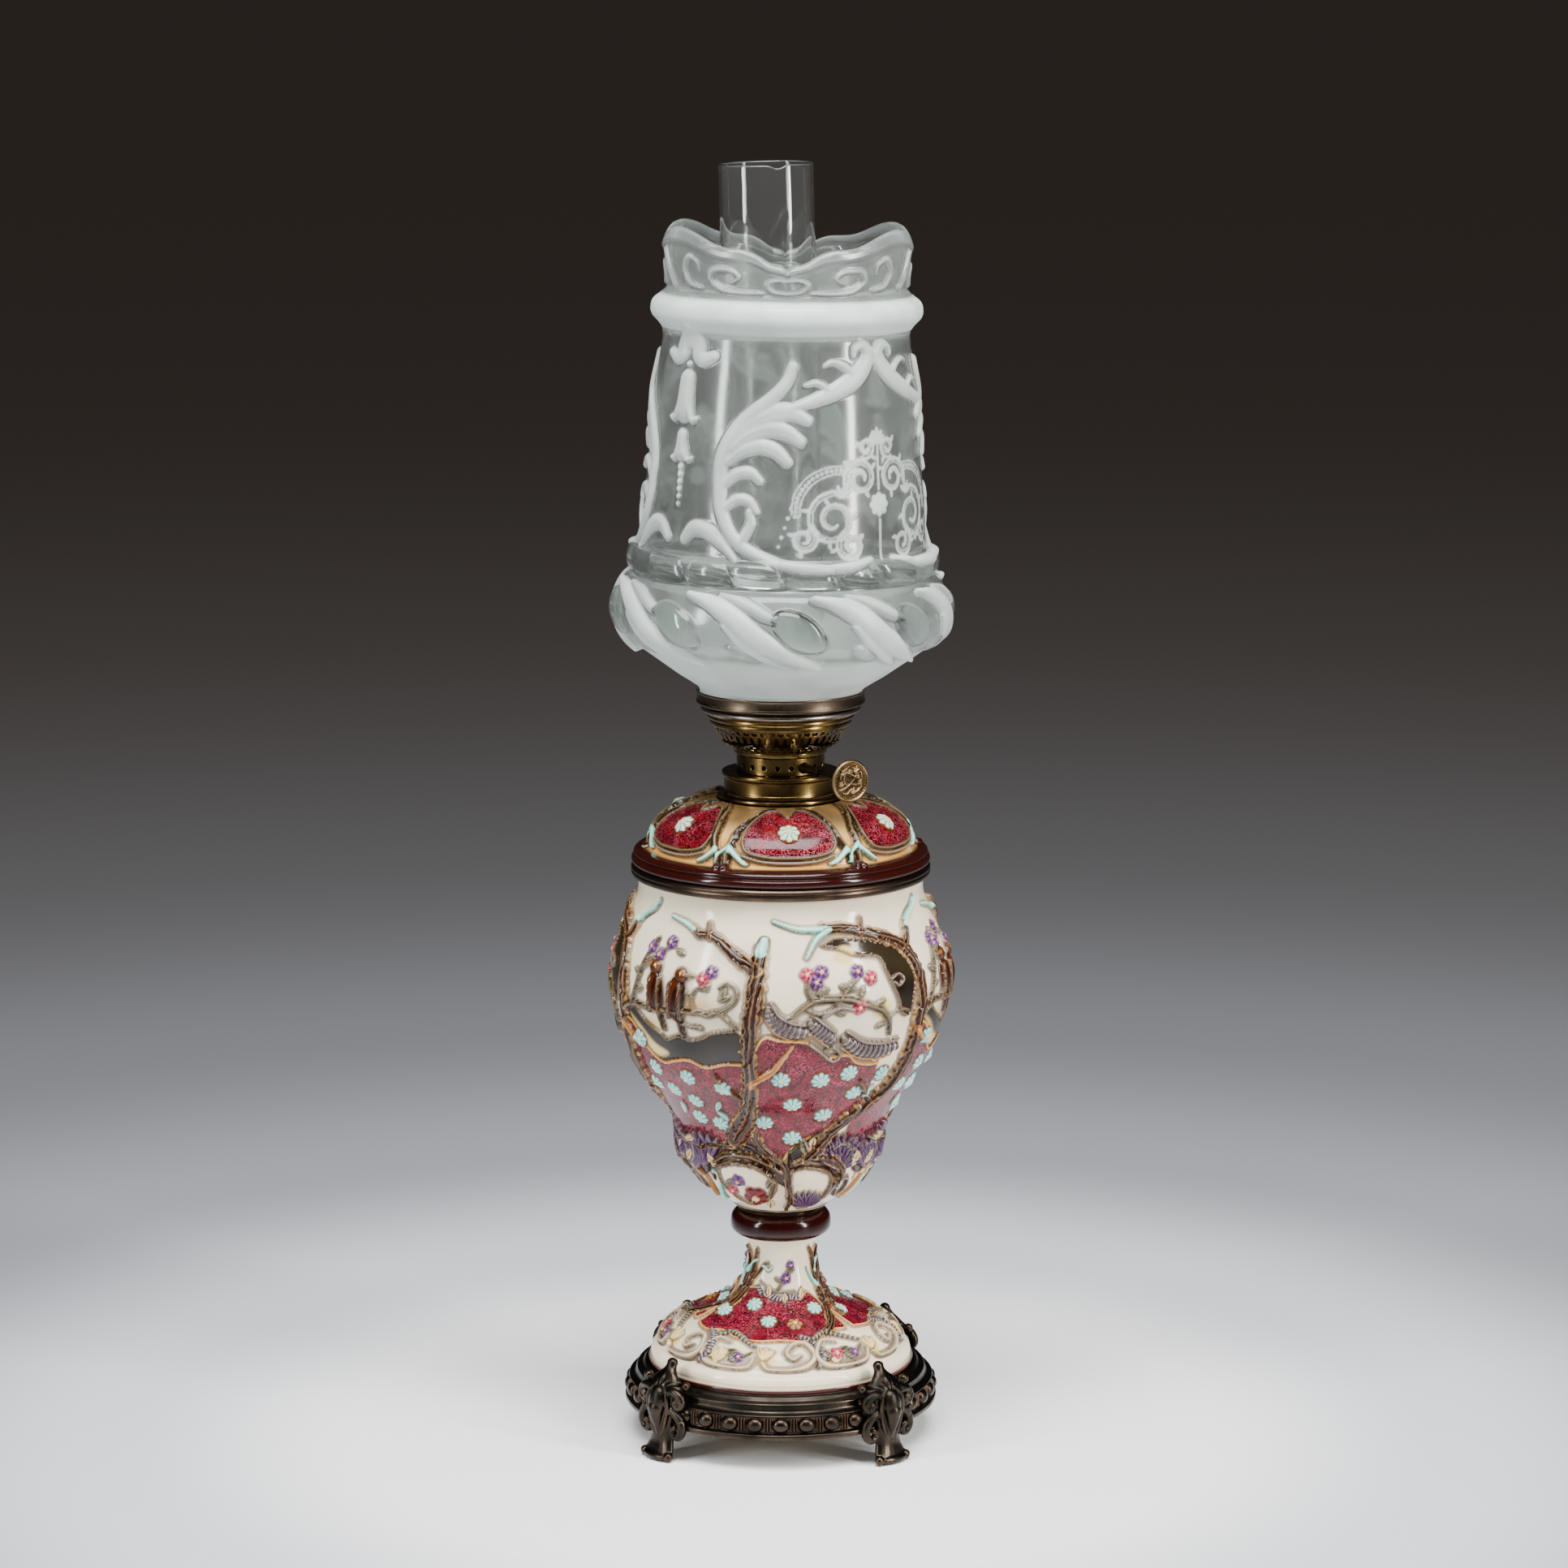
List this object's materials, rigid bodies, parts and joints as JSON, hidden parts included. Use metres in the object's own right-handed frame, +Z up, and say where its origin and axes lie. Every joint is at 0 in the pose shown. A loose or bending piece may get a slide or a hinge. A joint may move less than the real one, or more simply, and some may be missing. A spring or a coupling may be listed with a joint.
{
  "type": "oil table lamp",
  "caption": "Free-standing oil table lamp: footed base, glazed vase, drop-in font, round-wick burner with winder, clear chimney and moulded glass shade.",
  "frame": {"origin": "centre of the lamp's footprint on the surface that it stands on, on the axis of the vase", "axes": "+Z up along the lamp's axis, -Y towards the front, +X to the right of someone who faces the front"},
  "size_m": [0.1932, 0.1932, 0.7001],
  "materials": {
    "dark_bronze": "dark bronze patina, rubbed to copper on the high spots",
    "aged_brass": "old polished brass, darkened in its corners",
    "steel": "plain steel, dull",
    "cream_glaze": "glossy cream earthenware glaze with coloured relief",
    "dome_glaze": "glossy brown and crimson earthenware glaze",
    "tinned_sheet": "tinned sheet",
    "leather": "oiled leather",
    "felt": "felt",
    "cotton": "woven cotton",
    "clear_glass": "clear blown glass",
    "satin_glass": "moulded glass, part clear and part acid-frosted"
  },
  "bodies": {
    "stand": {"foot_front_left": "dark_bronze", "foot_front_right": "dark_bronze", "foot_rear_left": "dark_bronze", "foot_rear_right": "dark_bronze", "foot_screw_front_left": "steel", "foot_screw_front_right": "steel", "foot_screw_rear_left": "steel", "foot_screw_rear_right": "steel", "base_ring": "dark_bronze", "pedestal": "cream_glaze", "tie_strap": "steel", "tie_rod": "steel", "tie_nut_lower": "steel", "tie_nut_upper": "steel", "tie_washer": "steel", "felt_washer": "felt", "join_collar": "aged_brass", "vase_body": "cream_glaze", "rim_band": "dark_bronze"},
    "font": {"font_dome": "dome_glaze", "oil_tank": "tinned_sheet", "font_collar": "aged_brass"},
    "burner_seal": {"burner_washer": "leather"},
    "burner": {"burner_base": "aged_brass", "air_drum": "aged_brass", "wick_tube_outer": "aged_brass", "wick_tube_inner": "aged_brass", "spindle_bush": "aged_brass"},
    "winder": {"winder_spindle": "aged_brass", "winder_pinion": "aged_brass", "winder_knob": "aged_brass"},
    "wick_lift": {"wick": "cotton", "wick_carrier": "aged_brass", "wick_rack": "aged_brass"},
    "gallery": {"gallery_basket": "aged_brass", "chimney_crown": "aged_brass", "shade_ring": "aged_brass"},
    "chimney": {"chimney": "clear_glass"},
    "shade": {"shade": "satin_glass"}
  },
  "joints": [
    {"name": "font_lift", "type": "slide", "parent": "stand", "child": "font", "axis": [0, 0, 1], "range_m": [0, 0.14]},
    {"name": "seal_rise", "type": "slide", "parent": "font", "child": "burner_seal", "axis": [0, 0, 1], "range_m": [0, 0.0128]},
    {"name": "burner_unscrew", "type": "hinge", "parent": "burner_seal", "child": "burner", "pos_m": [0, 0, 0.36], "axis": [0, 0, 1], "range_deg": [0, 2520]},
    {"name": "winder_turn", "type": "hinge", "parent": "burner", "child": "winder", "pos_m": [0, 0, 0.3754], "axis": [0.5299, -0.848, 0], "range_deg": [-143, 214]},
    {"name": "wick_slide", "type": "slide", "parent": "burner", "child": "wick_lift", "axis": [0, 0, 1], "range_m": [-0.012, 0.008]},
    {"name": "gallery_lift", "type": "slide", "parent": "burner", "child": "gallery", "axis": [0, 0, 1], "range_m": [0, 0.03]},
    {"name": "chimney_lift", "type": "slide", "parent": "gallery", "child": "chimney", "axis": [0, 0, 1], "range_m": [0, 0.3]},
    {"name": "shade_lift", "type": "slide", "parent": "gallery", "child": "shade", "axis": [0, 0, 1], "range_m": [0, 0.3]}
  ],
  "couplings": [
    {"joint": "seal_rise", "follows": "burner_unscrew", "m_per_rad": 0.00028871},
    {"joint": "wick_slide", "follows": "winder_turn", "m_per_rad": -0.0032}
  ]
}
